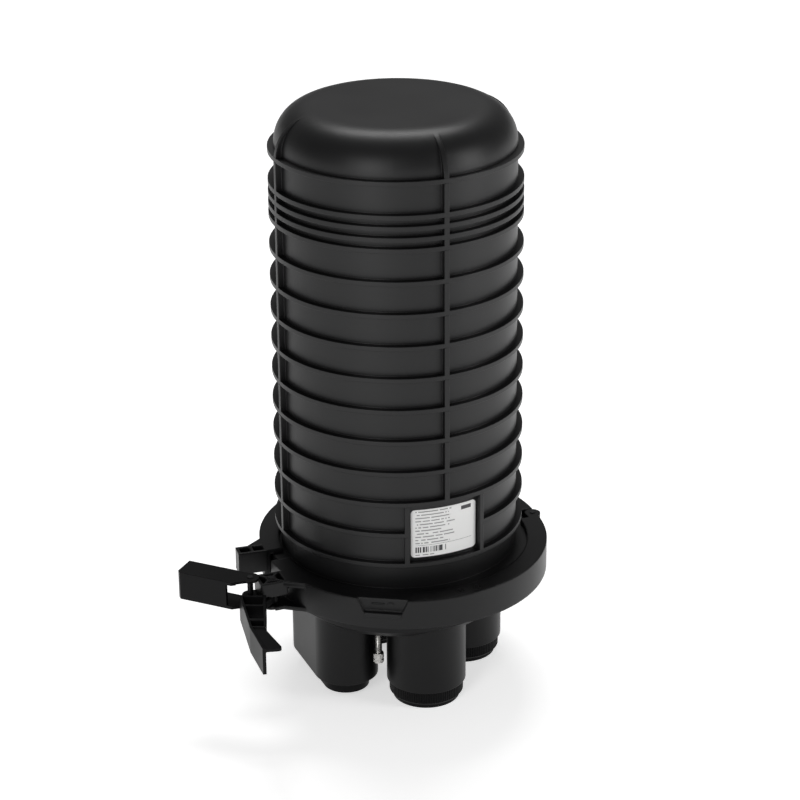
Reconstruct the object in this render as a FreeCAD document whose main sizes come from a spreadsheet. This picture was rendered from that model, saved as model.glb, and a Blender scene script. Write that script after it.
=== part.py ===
import FreeCAD, Part
import math
import os
import re
import Sketcher
from FreeCAD import Vector

# Dome splice closure: a ribbed dome and a ported base, held flange to flange by a hinged clamp ring.
# Origin: centre of the base floor's underside. +Z runs up the dome, +X points at the right port.

SIZES = (
    # Base cup
    ("base_floor", 4.5, "floor thickness"),
    ("skirt_radius", 79.0, "outside of the cup below the clamp"),
    ("skirt_wall", 3.5, "cup wall"),
    ("skirt_bevel", 5.0, "bevel round the cup's lower edge"),
    ("flange_low", 29.0, "underside of the base flange above the origin"),
    ("flange_radius", 93.0, "outside of both flanges"),
    ("flange_thick", 6.75, "thickness of each flange"),
    ("seal_radius", 87.5, "middle of the flange seal"),
    ("seal_width", 5.0, "flange seal width"),
    ("seal_depth", 4.2, "flange seal height"),
    # Dome
    ("dome_radius", 83.4, "outside of the dome wall where it leaves the flange"),
    ("dome_draft", 0.0058, "inward slope of the dome wall per millimetre of height"),
    ("dome_top", 361.0, "top of the dome above the origin"),
    ("dome_wall", 3.2, "dome wall thickness"),
    ("shoulder_radius", 25.0, "rounding of the dome's shoulder"),
    ("rib_start", 60.0, "underside of the lowest ring rib"),
    ("rib_pitch", 22.57, "spacing of the ring ribs"),
    ("rib_height", 3.2, "thickness of a ring rib"),
    ("rib_depth", 4.2, "how far a ring rib stands out"),
    ("upright_width", 3.4, "width of an upright rib"),
    ("upright_fade", 0.3, "how far the upright ribs sink in at the dome's top"),
    ("label_frame_angle", 18.4, "half angle between the ribs beside the label, degrees"),
    ("label_angle", 33.2, "whole angle of the label, degrees"),
    ("label_thick", 0.5, "label thickness"),
    ("label_film", 0.05, "adhesive under the label"),
    ("label_margin", 1.2, "gap between label and the ribs above and below"),
    ("label_corner", 3.0, "label corner rounding"),
    # Clamp ring, drawn round its own centre with its hinge on the ring's +X side
    ("clamp_room", 3.5, "room between the flanges and the clamp ring's outer wall"),
    ("clamp_wall", 4.5, "outer wall of the clamp ring"),
    ("lip_overlap", 6.0, "how far the clamp lips reach over the flanges"),
    ("lip_thick", 3.6, "thickness of the clamp lips"),
    ("clamp_gap", 0.3, "play between a lip and its flange"),
    ("slack_x", 1.0, "how far the loose ring stands to the right"),
    ("slack_y", 2.1, "how far the loose ring stands to the front"),
    ("hinge_heading", -6.5, "direction of the hinge from the ring's centre, degrees"),
    ("hinge_inset", 2.1, "hinge pin inside the ring's outer face"),
    ("hinge_relief", 3.8, "angle between the hinge pin and each half's end, degrees"),
    ("split_angle", 182.1, "end of the rear half, degrees from the hinge"),
    ("split_gap", 0.6, "gap between the closed halves, degrees"),
    ("open_angle", 4.5, "how far the front half stands open, degrees"),
    ("knuckle_radius", 5.6, "hinge knuckle radius"),
    ("knuckle_height", 6.0, "height of the front half's two knuckles"),
    ("hinge_pin_radius", 1.8, "hinge pin radius"),
    ("pin_play", 0.05, "running clearance of a pin in its hole"),
    ("pin_proud", 0.5, "how far a pin stands past its knuckles"),
    ("recess_heading", 241.0, "middle of the lever's rest notch from the hinge, degrees"),
    ("recess_width", 26.0, "width of the notch at its ledge"),
    ("recess_slant", 4.5, "how much wider each side of the notch is at the top"),
    ("recess_depth", 3.4, "radial depth of the notch"),
    ("recess_drop", 9.8, "height of the notch"),
    # Lug on the rear half
    ("lug_reach", 18.3, "how far the lug stands out from the ring"),
    ("lug_front", -4.2, "front face of the lug from the hinge line"),
    ("lug_depth", 11.0, "front to back size of the lug"),
    ("lug_height", 16.2, "height of the lug"),
    ("lug_wall", 2.0, "walls between the lug's pockets"),
    ("lug_pocket", 12.0, "depth of the lug's pockets"),
    ("lug_cell", 7.4, "width of each of the lug's pockets"),
    # Latch block and fork on the front half
    ("pivot_reach", 7.7, "lever pin outside the ring, along the hinge line"),
    ("pivot_y", 29.6, "lever pin in front of the hinge line"),
    ("block_width", 19.0, "latch block width"),
    ("block_depth", 16.2, "latch block depth"),
    ("block_height", 10.4, "latch block height"),
    ("block_wall", 1.8, "latch block walls and cross webs"),
    ("block_boss", 3.8, "boss round the lever pin"),
    ("strap_inset", 12.5, "end of the latch block's strap inside the ring's outer face"),
    ("strap_run", 17.9, "how far the strap runs past the lever pin towards the front"),
    ("fork_thick", 2.7, "lower fork plate thickness"),
    ("fork_radius", 6.5, "lower fork plate rounding about the pin"),
    ("latch_pin_radius", 2.0, "lever pin and link pin radius"),
    # Lever, drawn from its pin with its length along +X
    ("lever_heading", 248.0, "direction of the lever at rest from the hinge line, degrees"),
    ("lever_low", 20.5, "underside of the lever above the origin"),
    ("lever_height", 19.4, "height of the lever's walls"),
    ("lever_root", 12.8, "start of the lever's walls from its pin"),
    ("lever_box", 58.0, "end of the lever's box part"),
    ("lever_length", 87.5, "tip of the lever from its pin"),
    ("lever_root_width", 21.0, "outer wall's offset at the root"),
    ("lever_mid_width", 10.1, "outer wall's offset at the end of the box part"),
    ("lever_inner", 2.6, "inner wall's offset at the root"),
    ("lever_wall", 1.5, "lever wall thickness"),
    ("lever_web", 27.0, "cross web from the lever's pin"),
    ("hub_low", 30.2, "underside of the lever's hub above the origin"),
    ("hub_height", 5.4, "height of the lever's hub"),
    ("hub_radius", 5.8, "hub rounding about both pins"),
    ("link_pin_x", 3.0, "link pin along the lever"),
    ("link_pin_y", 14.2, "link pin to the lever's outer side"),
    ("tab_thick", 2.2, "thumb tab thickness"),
    ("tab_drop", 1.0, "how far the tab lies below the top of the lever's walls"),
    ("tab_corner", 2.0, "rounding of the tab's free corner"),
    ("tab_start", 67.0, "start of the tab's free edge"),
    ("tab_end", 84.5, "end of the tab's free edge"),
    ("tab_reach", 14.0, "how far the tab reaches inwards"),
    # Link, drawn from its pin with its length along +X
    ("link_heading", 135.5, "direction of the link at rest from the hinge line, degrees"),
    ("link_low", 28.1, "underside of the link above the origin"),
    ("link_height", 20.5, "height of the link"),
    ("link_plate", 1.8, "top and bottom plate thickness"),
    ("link_reach", 47.8, "link pin to the inside of the end wall"),
    ("link_wall", 2.2, "outer wall and end wall thickness"),
    ("link_near", 5.5, "ring side edge of the link from its pin"),
    ("link_far", 12.9, "outer face of the link from its pin"),
    ("link_shoulder", 8.0, "start of the link's outer wall"),
    ("link_lobe", 6.3, "rounding of the link about its pin"),
    ("window_start", 3.0, "start of the link's window"),
    ("window_length", 9.0, "length of the link's window"),
    ("window_rim", 0.6, "rim above and below the window"),
    # Ports
    ("port_circle", 50.0, "port centres from the dome's axis"),
    ("port_radius", 28.0, "outside of a round port"),
    ("port_bore", 23.6, "bore of a round port"),
    ("port_drop", 46.0, "length of the ports below the floor"),
    ("port_throat", 17.0, "throat of a round port"),
    ("throat_drop", 9.0, "underside of the throat's shoulder below the floor"),
    ("oval_radius", 22.8, "outside radius of the oval port's ends"),
    ("oval_half", 21.5, "oval port's end centres from its middle"),
    ("oval_bore", 18.6, "bore radius of the oval port's ends"),
    ("oval_throat", 13.0, "throat radius of the oval port's ends"),
    ("nut_radius", 26.2, "port nut rim radius"),
    ("nut_rim", 13.4, "port nut rim height"),
    ("nut_chamfer", 4.8, "chamfer round the lower edge of a port nut"),
    ("nut_gap", 0.3, "gap between nut rim and port"),
    ("nut_spigot", 14.0, "length of the nut's spigot in the port"),
    ("nut_bore", 13.5, "cable way through the nut"),
    ("knurl_count", 96, "flutes round a port nut"),
    ("knurl_radius", 0.45, "flute radius"),
    ("seat_play", 0.1, "play of a seal or plug in its seat"),
    ("plug_radius", 11.0, "blanking plug radius"),
    ("plug_head", 14.0, "blanking plug head radius"),
    ("plug_head_thick", 3.0, "blanking plug head thickness"),
    ("cap_radius", 16.3, "oval cap rim radius"),
    ("cap_rim", 5.2, "oval cap rim height"),
    ("cap_taper", 4.0, "height of the oval cap's taper"),
    ("cap_spigot", 6.0, "oval cap's spigot in the port"),
    ("loop_hole", 9.0, "cable way at each end of the oval port"),
    ("oval_plug_radius", 7.4, "oval port plug radius"),
    ("oval_plate", 3.0, "oval port's inner pressure plate thickness"),
    ("bolt_radius", 3.0, "oval port's pressure bolt radius"),
    ("bolt_head", 5.5, "bolt head and nut radius across corners"),
    ("bolt_head_thick", 4.0, "bolt head and nut thickness"),
    # Valve
    ("valve_circle", 60.8, "valve from the dome's axis"),
    ("valve_heading", 233.7, "direction of the valve, degrees"),
    ("valve_radius", 2.3, "valve stem radius"),
    ("valve_drop", 26.7, "bottom of the bare stem below the floor"),
    ("valve_collar", 5.2, "valve collar and nut radius"),
    ("valve_collar_thick", 3.0, "valve collar and nut thickness"),
    ("valve_boss", 3.0, "height of the valve's boss inside the base"),
    ("valve_boss_radius", 8.0, "radius of the valve's boss"),
    ("valve_cap_radius", 3.6, "valve cap radius"),
    ("valve_cap_height", 7.3, "valve cap height"),
    ("cap_floor", 1.2, "thickness of the valve cap's closed end"),
    ("valve_bore", 1.0, "air way through the valve"),
    # Organizer inside the dome
    ("pillar_offset", 15.0, "floor bosses from the axis"),
    ("pillar_radius", 4.5, "floor boss radius"),
    ("pillar_height", 8.0, "floor boss height"),
    ("screw_radius", 1.7, "small screw radius"),
    ("screw_head", 3.2, "small screw head radius"),
    ("screw_head_thick", 2.2, "small screw head thickness"),
    ("screw_length", 6.5, "small screw length under its head"),
    ("foot_size", 42.0, "side of the frame's foot"),
    ("sheet", 2.0, "sheet thickness of the frame"),
    ("back_width", 90.0, "width of the frame's back plate"),
    ("back_top", 325.0, "top of the frame's back plate"),
    ("back_low", 38.0, "start of the wide part of the back plate"),
    ("ladder_low", 44.0, "underside of the tray ladder"),
    ("ladder_floor", 3.0, "tray ladder floor thickness"),
    ("ladder_width", 74.0, "tray ladder width"),
    ("ladder_cheek", 3.0, "tray ladder cheek thickness"),
    ("ladder_height", 20.0, "tray ladder height"),
    ("tray_pitch", 10.0, "spacing of the splice trays"),
    ("tray_thick", 8.0, "depth of a splice tray"),
    ("tray_width", 112.0, "splice tray width"),
    ("tray_low", 68.0, "lower edge of the splice trays"),
    ("tray_top", 312.0, "upper edge of the splice trays"),
    ("tray_wall", 1.6, "splice tray wall and floor"),
    ("tray_corner", 22.0, "splice tray corner rounding"),
    ("tray_neck", 20.0, "width of each hinge tongue"),
    ("tray_play", 0.3, "play between a hinge tongue and the ladder's cheek"),
    ("tray_pin_rise", 57.0, "height of the tray pins"),
    ("tray_pin_radius", 1.5, "tray pin radius"),
    ("hub_mid", 24.0, "winding hub radius"),
    ("hub_rise", 60.0, "winding hubs above and below the tray's middle"),
    ("comb_width", 50.0, "splice comb width"),
    ("comb_length", 34.0, "splice comb length"),
    ("comb_height", 4.0, "splice comb height"),
    ("comb_slot", 2.6, "splice comb slot width"),
    ("cover_thick", 1.2, "tray cover thickness"),
    ("basket_width", 96.0, "loop basket width"),
    ("basket_depth", 26.0, "loop basket depth"),
    ("basket_low", 62.0, "loop basket lower edge"),
    ("basket_top", 300.0, "loop basket upper edge"),
    ("clamp_block", 9.0, "strength member clamp side"),
    ("earth_rise", 32.0, "earth stud height"),
    ("earth_radius", 3.0, "earth stud radius"),
    ("earth_length", 22.0, "earth stud length"),
    ("earth_nut", 5.5, "earth nut radius across corners"),
)
# Sizes that follow from others
DERIVED = {
    "clamp_radius": "(flange_radius + clamp_room + clamp_wall)",
    "lip_radius": "(flange_radius - lip_overlap)",
    "hinge_circle": "(clamp_radius - hinge_inset)",
    "lug_outer": "(clamp_radius + lug_reach)",
    "pivot_x": "(clamp_radius + pivot_reach)",
}
TRAYS = 5
PORTS = (("right", 0), ("rear", 90), ("front", 270))

document = FreeCAD.newDocument("DomeClosure")
sheet = document.addObject("Spreadsheet::Sheet", "sizes")
for row, (alias, value, note) in enumerate(SIZES, start=1):
    sheet.set(f"A{row}", note)
    sheet.set(f"B{row}", str(value))
    sheet.setAlias(f"B{row}", alias)
document.recompute()
NAMES = {alias for alias, value, note in SIZES}
nodes = []


def formula(text):
    """Writes a sum of size names as an expression on the sheet, derived sizes written out in full."""
    def point(match):
        word = match.group()
        if word in DERIVED:
            return formula(DERIVED[word])
        return "sizes." + word if word in NAMES else word
    return re.sub(r"[a-z][a-z_]*", point, str(text))


def bind(thing, **sizes):
    for name, text in sizes.items():
        thing.setExpression(name, formula(text))


def place(thing, x="0", y="0", z="0", turn="0"):
    """Sets a piece down at x, y, z, turned about the vertical."""
    thing.setExpression("Placement.Base.x", formula(x))
    thing.setExpression("Placement.Base.y", formula(y))
    thing.setExpression("Placement.Base.z", formula(z))
    thing.setExpression("Placement.Rotation.Angle", formula(turn))
    return thing


def cylinder(radius, height, x="0", y="0", z="0"):
    thing = document.addObject("Part::Cylinder", "round")
    bind(thing, Radius=radius, Height=height)
    return place(thing, x, y, z)


def box(length, width, height, x, y, z, turn="0"):
    """A box whose least corner is at x, y, z."""
    thing = document.addObject("Part::Box", "block")
    bind(thing, Length=length, Width=width, Height=height)
    return place(thing, x, y, z, turn)


def cone(low_radius, high_radius, height, x="0", y="0", z="0"):
    thing = document.addObject("Part::Cone", "taper")
    bind(thing, Radius1=low_radius, Radius2=high_radius, Height=height)
    return place(thing, x, y, z)


def fuse(*things):
    thing = document.addObject("Part::MultiFuse", "joined")
    thing.Shapes = list(things)
    return thing


def common(*things):
    thing = document.addObject("Part::MultiCommon", "shared")
    thing.Shapes = list(things)
    return thing


def cut(base, *tools):
    thing = document.addObject("Part::Cut", "trimmed")
    thing.Base = base
    thing.Tool = tools[0] if len(tools) == 1 else fuse(*tools)
    return thing


def prism(sides, radius, height, x="0", y="0", z="0"):
    thing = document.addObject("Part::Prism", "prism")
    thing.Polygon = sides
    bind(thing, Circumradius=radius, Height=height)
    return place(thing, x, y, z)


def node(thing, name):
    """Names a finished sub-part."""
    thing.Label = name
    nodes.append(thing)
    return thing


def group(*things):
    """Like solids that stay apart in one node."""
    thing = document.addObject("Part::Compound", "set")
    thing.Links = list(things)
    return thing


def new_body(name):
    return document.addObject("PartDesign::Body", name)


def draw(body, plane, *outlines):
    """A sketch on one of the body's origin planes, each corner tied to the sheet."""
    sketch = body.newObject("Sketcher::SketchObject", "profile")
    for feature in body.Origin.OriginFeatures:
        if feature.Role == plane:
            sketch.AttachmentSupport = (feature, [""])
    sketch.MapMode = "FlatFace"
    for corners in outlines:
        first = sketch.GeometryCount
        count = len(corners)
        turns = [math.tau * i / count for i in range(count)]
        guess = [Vector(60 + 40 * math.cos(turn), 60 + 40 * math.sin(turn), 0) for turn in turns]
        for i in range(count):
            sketch.addGeometry(Part.LineSegment(guess[i], guess[(i + 1) % count]), False)
        for i in range(count):
            after = first + (i + 1) % count
            sketch.addConstraint(Sketcher.Constraint("Coincident", first + i, 2, after, 1))
        for i, (across, along) in enumerate(corners):
            tie(sketch, first + i, "DistanceX", across, -2)
            tie(sketch, first + i, "DistanceY", along, -1)
    return sketch


def tie(sketch, line, direction, text, axis):
    if text == "0":
        sketch.addConstraint(Sketcher.Constraint("PointOnObject", line, 1, axis))
        return
    index = sketch.addConstraint(Sketcher.Constraint(direction, -1, 1, line, 1, 1.0))
    sketch.setExpression(f"Constraints[{index}]", formula(text))


def revolve(body, sketch, angle=None):
    """Turns a profile about the vertical, all round or through an angle centred on +X."""
    turned = body.newObject("PartDesign::Revolution", "turned")
    turned.Profile = sketch
    turned.ReferenceAxis = (sketch, ["V_Axis"])
    if angle is None:
        turned.Angle = 360
    else:
        turned.Midplane = True
        turned.setExpression("Angle", formula(angle))
    return turned


def pad(body, sketch, height):
    raised = body.newObject("PartDesign::Pad", "raised")
    raised.Profile = sketch
    raised.setExpression("Length", formula(height))
    return raised


def slab(name, height, *outlines):
    """An upright prism on the ground plane, of one outline and any holes in it."""
    body = new_body(name)
    pad(body, draw(body, "XY_Plane", *outlines), height)
    return body


def rectangle(left, right, low, high):
    return [(left, low), (right, low), (right, high), (left, high)]


def round_edges(body, radius, wanted):
    """Rounds the edges of the body's last feature whose middle passes the test."""
    document.recompute()
    base = body.Tip
    names = [f"Edge{i}" for i, edge in enumerate(base.Shape.Edges, start=1) if wanted(edge)]
    rounding = body.newObject("PartDesign::Fillet", "rounding")
    rounding.Base = (base, names)
    rounding.setExpression("Radius", formula(radius))
    return rounding


def size(name):
    return float(sheet.get(name))


def is_circle(edge, radius, height):
    """A circle about the vertical axis with this radius and height."""
    curve = edge.Curve
    return (curve.TypeId == "Part::GeomCircle" and abs(curve.Radius - radius) < 0.01
            and abs(curve.Center.z - height) < 0.01)


def is_upright(edge, reach, tall):
    """A vertical edge at this distance to either side, at least this tall."""
    return abs(abs(edge.CenterOfMass.x) - reach) < 0.01 and edge.BoundBox.ZLength > tall


MATE = "(flange_low + flange_thick)"
FLANGE_TOP = "(flange_low + 2 * flange_thick)"
CLAMP_LOW = "(flange_low - clamp_gap - lip_thick)"
CLAMP_HEIGHT = "(2 * flange_thick + 2 * clamp_gap + 2 * lip_thick)"
CLAMP_TOP = f"({CLAMP_LOW} + {CLAMP_HEIGHT})"
HINGE_X = "(slack_x + hinge_circle * cos(hinge_heading))"
HINGE_Y = "(hinge_circle * sin(hinge_heading) - slack_y)"
FRONT_TURN = "(hinge_heading + open_angle)"
FRONT_X = f"({HINGE_X} - hinge_circle * cos({FRONT_TURN}))"
FRONT_Y = f"({HINGE_Y} - hinge_circle * sin({FRONT_TURN}))"


def wall_at(step):
    """Outside radius of the dome wall above a ring rib; each length of wall is a little narrower."""
    return f"(dome_radius - dome_draft * ({rib_low(step)} - {FLANGE_TOP}))"


def rib_low(step):
    return f"(rib_start + {step} * rib_pitch)"


# Base cup with its ports, one moulding
def make_base():
    body = new_body("cup")
    groove = [("seal_radius + seal_width / 2", MATE), ("seal_radius + seal_width / 2", f"{MATE} - seal_depth"),
              ("seal_radius - seal_width / 2", f"{MATE} - seal_depth"), ("seal_radius - seal_width / 2", MATE)]
    profile = [("0", "0"), ("skirt_radius - skirt_bevel", "0"), ("skirt_radius", "skirt_bevel"),
               ("skirt_radius", "flange_low"), ("flange_radius", "flange_low"), ("flange_radius", MATE)]
    profile += groove
    profile += [("skirt_radius - skirt_wall", MATE), ("skirt_radius - skirt_wall", "base_floor"),
                ("0", "base_floor")]
    revolve(body, draw(body, "XZ_Plane", profile))
    solids = [body]
    bores = []
    for name, heading in PORTS:
        x = f"port_circle * cos({heading})"
        y = f"port_circle * sin({heading})"
        solids.append(cylinder("port_radius", "port_drop + base_floor", x, y, "-port_drop"))
        bores.append(cylinder("port_bore", "port_drop - throat_drop", x, y, "-port_drop"))
        bores.append(cylinder("port_throat", "port_drop + base_floor", x, y, "-port_drop"))
    solids += [oval("oval_radius", "port_drop + base_floor", "-port_drop")]
    bores += [oval("oval_bore", "port_drop - throat_drop", "-port_drop"),
              oval("oval_throat", "port_drop + base_floor", "-port_drop")]
    for x, y in corners("pillar_offset"):
        solids.append(cylinder("pillar_radius", "pillar_height + base_floor", x, y, "0"))
        screw_end = "base_floor + pillar_height + sheet - screw_length"
        bores.append(cylinder("screw_radius", "screw_length", x, y, screw_end))
    solids.append(cylinder("valve_boss_radius", "base_floor + valve_boss", VALVE_X, VALVE_Y, "0"))
    bores.append(cylinder("valve_radius", "base_floor + valve_boss", VALVE_X, VALVE_Y, "0"))
    bores.append(cylinder("valve_collar + nut_gap", "valve_collar_thick", VALVE_X, VALVE_Y, "0"))
    return node(cut(fuse(*solids), *bores), "base_body")


def oval(radius, height, low):
    """A prism with round ends at the oval port, its length set across the dome's radius."""
    ends = [cylinder(radius, height, "-port_circle", f"{side} * oval_half", low) for side in (-1, 1)]
    middle = box(f"2 * ({radius})", "2 * oval_half", height, f"-port_circle - ({radius})", "-oval_half", low)
    return fuse(*ends, middle)


def corners(offset):
    return [(f"{a} * {offset}", f"{b} * {offset}") for a in (-1, 1) for b in (-1, 1)]


VALVE_X = "valve_circle * cos(valve_heading)"
VALVE_Y = "valve_circle * sin(valve_heading)"


# Flange seal, a moulded rubber ring
def make_seal():
    body = new_body("ring_seal")
    half = "seal_width / 2"
    profile = rectangle(f"seal_radius - {half}", f"seal_radius + {half}", f"{MATE} - seal_depth", MATE)
    revolve(body, draw(body, "XZ_Plane", profile))
    return node(body, "flange_seal")


RIB_STEPS = list(range(11)) + ["(10 + 1 / 3)", "(10 + 2 / 3)", 11, 12]


# Dome: a drafted shell with ring ribs and upright ribs, one moulding
def make_dome():
    body = new_body("shell")
    crown = wall_at(12)
    profile = [(f"{crown} - dome_wall", MATE), ("flange_radius", MATE), ("flange_radius", FLANGE_TOP),
               ("dome_radius", FLANGE_TOP)]
    ribbed = [("0", rib_low(0))]
    wall = "dome_radius"
    for step in RIB_STEPS:
        low = rib_low(step)
        high = f"({low} + rib_height)"
        profile += [(wall, low), (f"{wall_at(step)} + rib_depth", low)]
        ribbed += [(ribbed[-1][0], low)] if step else []
        ribbed += [(f"{wall_at(step)} + rib_depth", low)]
        wall = wall_at(step)
        profile += [(f"{wall} + rib_depth", high), (wall, high)]
    profile += [(crown, "dome_top"), ("0", "dome_top"), ("0", "dome_top - dome_wall"),
                (f"{crown} - dome_wall", "dome_top - dome_wall")]
    revolve(body, draw(body, "XZ_Plane", profile))
    foot = size("flange_low") + 2 * size("flange_thick")
    radius = size("dome_radius") - size("dome_draft") * (size("rib_start") + 12 * size("rib_pitch") - foot)
    inner = (radius - size("dome_wall"), size("dome_top") - size("dome_wall"))
    round_edges(body, "shoulder_radius - dome_wall", lambda edge: is_circle(edge, *inner))
    round_edges(body, "shoulder_radius", lambda edge: is_circle(edge, radius, size("dome_top")))

    envelope = new_body("envelope")
    ribbed += [(f"{crown} + rib_depth", "dome_top - upright_fade"), ("0", "dome_top - upright_fade")]
    revolve(envelope, draw(envelope, "XZ_Plane", ribbed))
    reach = (radius + size("rib_depth"), size("dome_top") - size("upright_fade"))
    round_edges(envelope, "shoulder_radius + rib_depth", lambda edge: is_circle(edge, *reach))
    uprights = [upright(heading, rib_low(0), "dome_top") for heading in (0, 90, 180)]
    uprights.append(upright(270, rib_low(2), "dome_top"))
    uprights += [upright(f"270 + {side} * label_frame_angle", rib_low(0), f"{rib_low(2)} + rib_height")
                 for side in (-1, 1)]
    hollow = new_body("hollow")
    lift = "(dome_wall / 2)"
    profile = rectangle("0", f"{crown} - {lift}", f"rib_start - {lift}", f"dome_top - {lift}")
    revolve(hollow, draw(hollow, "XZ_Plane", profile))
    middle = (radius - size("dome_wall") / 2, size("dome_top") - size("dome_wall") / 2)
    round_edges(hollow, f"shoulder_radius - {lift}", lambda edge: is_circle(edge, *middle))
    ribs = cut(common(fuse(*uprights), envelope), hollow)

    window = new_body("label_bay")
    low = f"({rib_low(0)} + rib_height)"
    profile = rectangle(wall_at(1), f"{wall_at(1)} + 2 * rib_depth", low, rib_low(2))
    revolve(window, draw(window, "XZ_Plane", profile), "2 * label_frame_angle")
    place(window, turn="270")
    shell = cut(body, window)
    return node(fuse(shell, ribs), "dome_cover")


def upright(heading, low, high):
    """A flat rib standing radially at a heading, trimmed to the dome's envelope later."""
    x = f"upright_width / 2 * sin({heading})"
    y = f"-upright_width / 2 * cos({heading})"
    return box("dome_radius + 2 * rib_depth", "upright_width", f"{high} - {low}", x, y, low, str(heading))


# Label: a thin plate bent to the dome's wall
def make_label():
    body = new_body("label_plate")
    low = f"({rib_low(0)} + rib_height + label_margin)"
    high = f"({rib_low(2)} - label_margin)"
    profile = rectangle(f"{wall_at(1)} + label_film", f"{wall_at(1)} + label_thick", low, high)
    revolve(body, draw(body, "XZ_Plane", profile), "label_angle")
    round_edges(body, "label_corner", lambda edge: edge.Length < 2 * size("label_thick"))
    place(body, turn="270")
    return node(body, "dome_label")


def channel(name, angle):
    """A length of the clamp's channel, centred on +X of the ring."""
    body = new_body(name)
    inside = "clamp_radius - clamp_wall"
    top = f"{CLAMP_HEIGHT} - lip_thick"
    profile = [("lip_radius", "0"), ("clamp_radius", "0"), ("clamp_radius", CLAMP_HEIGHT),
               ("lip_radius", CLAMP_HEIGHT), ("lip_radius", top), (inside, top), (inside, "lip_thick"),
               ("lip_radius", "lip_thick")]
    revolve(body, draw(body, "XZ_Plane", profile), angle)
    return body


def knuckle(low, height, side):
    """A hinge knuckle and the web that ties it to its half, on the side it comes from."""
    web = box("knuckle_radius + 1", "knuckle_radius + 3", height, "hinge_circle - knuckle_radius",
              "0" if side > 0 else "-knuckle_radius - 3", low)
    return fuse(cylinder("knuckle_radius", height, "hinge_circle", "0", low), web)


# Rear half of the clamp: channel, middle knuckle and pocketed lug, one moulding
def make_rear_half():
    arc = channel("rear_channel", "split_angle - hinge_relief")
    place(arc, turn="(split_angle + hinge_relief) / 2")
    middle = knuckle("knuckle_height + clamp_gap", f"{CLAMP_HEIGHT} - 2 * knuckle_height - 2 * clamp_gap", 1)
    lug_low = f"{CLAMP_HEIGHT} - lug_height"
    reach = "lug_outer - clamp_radius + clamp_wall / 2"
    lug = box(reach, "lug_depth", "lug_height", "-lug_outer", "lug_front", lug_low)
    gusset = slab("gusset", "lip_thick", [("-lug_outer + lug_wall", "lug_front + lug_depth / 2"),
                                          ("-lip_radius - lip_thick", "lug_front + lug_depth / 2"),
                                          ("-lip_radius - lip_thick", "lug_front + 3 * lug_depth"),
                                          ("-lug_outer + 2 * lug_depth", "lug_front + 2 * lug_depth")])
    place(gusset, z=f"{CLAMP_HEIGHT} - lip_thick")
    pocket_low = f"{CLAMP_HEIGHT} - lug_pocket"
    pockets = [box("lug_cell", "lug_depth - 2 * lug_wall", "lug_pocket",
                   f"-lug_outer + lug_wall + {i} * (lug_cell + lug_wall)", "lug_front + lug_wall", pocket_low)
               for i in range(2)]
    hole = cylinder("hinge_pin_radius", CLAMP_HEIGHT, "hinge_circle")
    half = cut(fuse(arc, middle, lug, gusset), hole, *pockets)
    place(half, "slack_x", "-slack_y", CLAMP_LOW, "hinge_heading")
    return node(half, "clamp_rear_half")


def front_place(thing, low=CLAMP_LOW):
    return place(thing, FRONT_X, FRONT_Y, low, FRONT_TURN)


# Front half of the clamp: channel, two knuckles, cross-webbed latch block, fork and rest notch
def make_front_half():
    arc = channel("front_channel", "360 - split_angle - split_gap - hinge_relief")
    place(arc, turn="(360 + split_angle + split_gap - hinge_relief) / 2")
    upper = knuckle(f"{CLAMP_HEIGHT} - knuckle_height", "knuckle_height", -1)
    lower = knuckle("0", "knuckle_height", -1)
    block_low = f"({CLAMP_HEIGHT} - block_height)"
    block = box("block_width", "block_depth", "block_height", "-pivot_x - block_width / 2",
                "-pivot_y - block_depth / 2", block_low)
    strap = slab("strap", "lip_thick", latch_strap("block_width / 2"))
    place(strap, z=f"{CLAMP_HEIGHT} - lip_thick")
    bridge = box("pivot_x - clamp_radius + clamp_wall", "block_depth / 2", "block_height", "-pivot_x",
                 "-pivot_y", block_low)
    foot = slab("fork", "fork_thick", latch_strap("0"))
    eye = cylinder("fork_radius", "fork_thick", "-pivot_x", "-pivot_y")
    inner = box("block_width - 2 * block_wall", "block_depth - 2 * block_wall", "block_height - block_wall",
                "-pivot_x - block_width / 2 + block_wall", "-pivot_y - block_depth / 2 + block_wall",
                f"{block_low} + block_wall")
    webs = [block_web(turn, block_low) for turn in (45, 135)]
    boss = cylinder("block_boss", "block_height", "-pivot_x", "-pivot_y", block_low)
    pockets = cut(inner, *webs, boss)
    pin_hole = cylinder("hinge_pin_radius + pin_play", CLAMP_HEIGHT, "hinge_circle")
    lever_hole = cylinder("latch_pin_radius", CLAMP_HEIGHT, "-pivot_x", "-pivot_y")
    solids = fuse(arc, upper, lower, block, strap, bridge, foot, eye)
    half = cut(solids, pockets, rest_notch(), pin_hole, lever_hole)
    return node(front_place(half), "clamp_front_half")


def block_web(turn, low):
    """A web across the latch block through the lever pin."""
    x = f"-pivot_x - block_width * cos({turn}) + block_wall / 2 * sin({turn})"
    y = f"-pivot_y - block_width * sin({turn}) - block_wall / 2 * cos({turn})"
    return box("2 * block_width", "block_wall", "block_height", x, y, low, str(turn))


def rest_notch():
    """The notch the closed lever rests in: a flat back, a level ledge and slanting ends."""
    body = new_body("notch")
    half = "recess_width / 2"
    wide = f"({half} + recess_slant)"
    above = "recess_drop + lip_thick"
    outline = [(f"-{half}", "0"), (half, "0"), (wide, "recess_drop"), (wide, above), (f"-{wide}", above),
               (f"-{wide}", "recess_drop")]
    pad(body, draw(body, "YZ_Plane", outline), "2 * recess_depth")
    back = "(clamp_radius - recess_depth)"
    return place(body, f"{back} * cos(recess_heading)", f"{back} * sin(recess_heading)",
                 f"{CLAMP_HEIGHT} - recess_drop", "recess_heading")


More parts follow.
